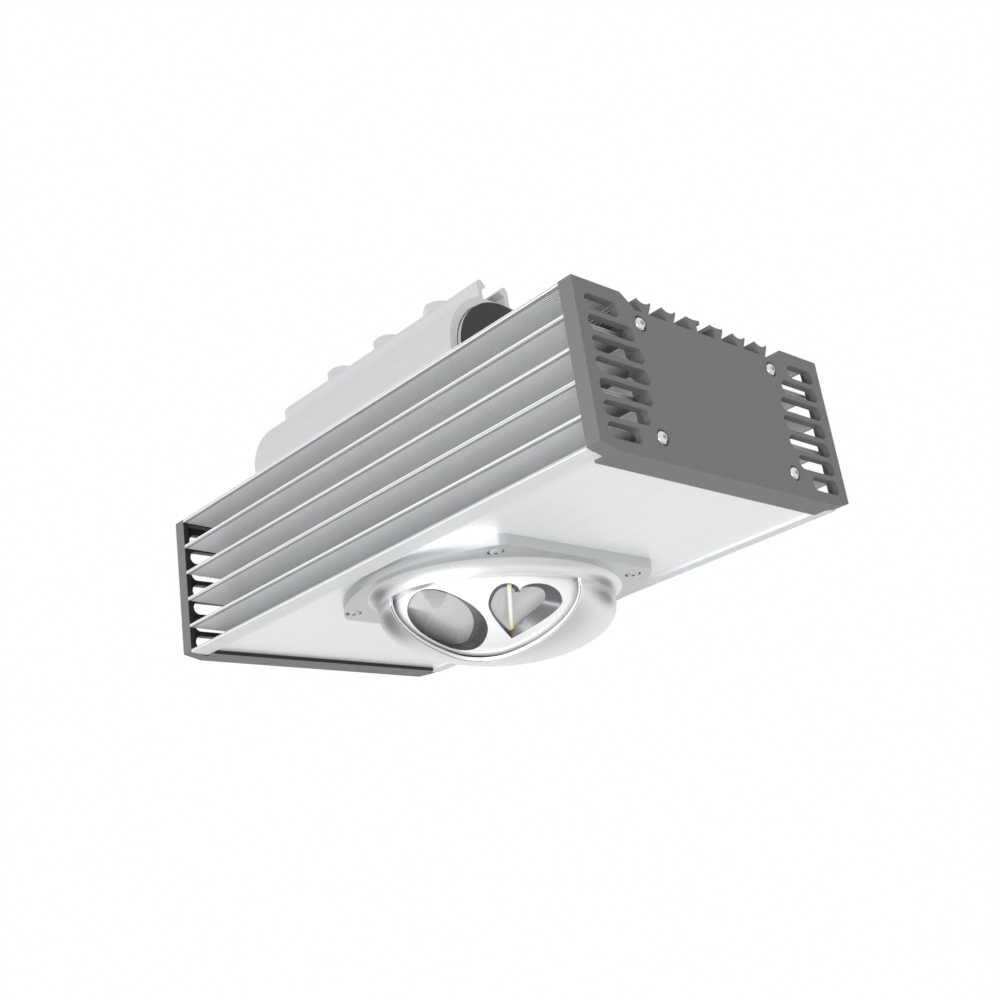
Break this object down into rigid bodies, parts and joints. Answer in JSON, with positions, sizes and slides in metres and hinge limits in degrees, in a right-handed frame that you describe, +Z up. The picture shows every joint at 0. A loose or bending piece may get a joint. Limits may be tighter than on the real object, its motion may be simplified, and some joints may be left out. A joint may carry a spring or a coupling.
{
  "type": "led street light",
  "caption": "Compact street light: finned aluminium housing with vented end covers, a domed glass lens in a shielded bezel and a tubular bolt-on pole clamp.",
  "frame": {"origin": "centre of the clamp sleeve's open mouth, where the pole arm enters, on the bore's axis", "axes": "+X from the mouth along the bore towards the near end cover, +Y across the housing, +Z up; the lens looks down"},
  "size_m": [0.2726, 0.142, 0.166],
  "materials": {
    "body_metal": "bare extruded aluminium, satin",
    "cover_paint": "matt dark grey paint",
    "bezel_metal": "turned aluminium, fine rings",
    "clamp_metal": "bare extruded aluminium, satin",
    "sleeve_metal": "bare tube, satin",
    "screw_steel": "bright stainless steel",
    "bolt_steel": "zinc-plated steel",
    "lens_glass": "clear moulded glass",
    "plug_plastic": "matt black",
    "gland_plastic": "matt black",
    "gasket_rubber": "black silicone",
    "pad_rubber": "soft grey thermal pad",
    "board_face": "white chip-on-board plate",
    "phosphor": "yellow phosphor silicone",
    "driver_case": "potted driver case",
    "terminal_plastic": "white plastic"
  },
  "bodies": {
    "root": {"heatsink_body": "body_metal", "near_end_cover": "cover_paint", "far_end_cover": "cover_paint", "near_gasket": "gasket_rubber", "far_gasket": "gasket_rubber", "near_cover_screws": "screw_steel", "far_cover_screws": "screw_steel", "lens_bezel": "bezel_metal", "bezel_screws": "screw_steel", "glass_lens": "lens_glass", "lens_gasket": "gasket_rubber", "led_board": "board_face", "led_emitter": "phosphor", "thermal_pad": "pad_rubber", "board_screws": "screw_steel", "pole_clamp": "clamp_metal", "clamp_bolts": "bolt_steel", "clamp_nuts": "bolt_steel", "pole_sleeve": "sleeve_metal", "sleeve_plug": "plug_plastic", "fixing_screws": "screw_steel", "slot_nuts": "screw_steel", "led_driver": "driver_case", "driver_screws": "screw_steel", "terminal_block": "terminal_plastic", "gland_body": "gland_plastic", "gland_dome": "gland_plastic", "gland_seal": "gasket_rubber", "gland_lock_nut": "gland_plastic"}
  },
  "joints": []
}
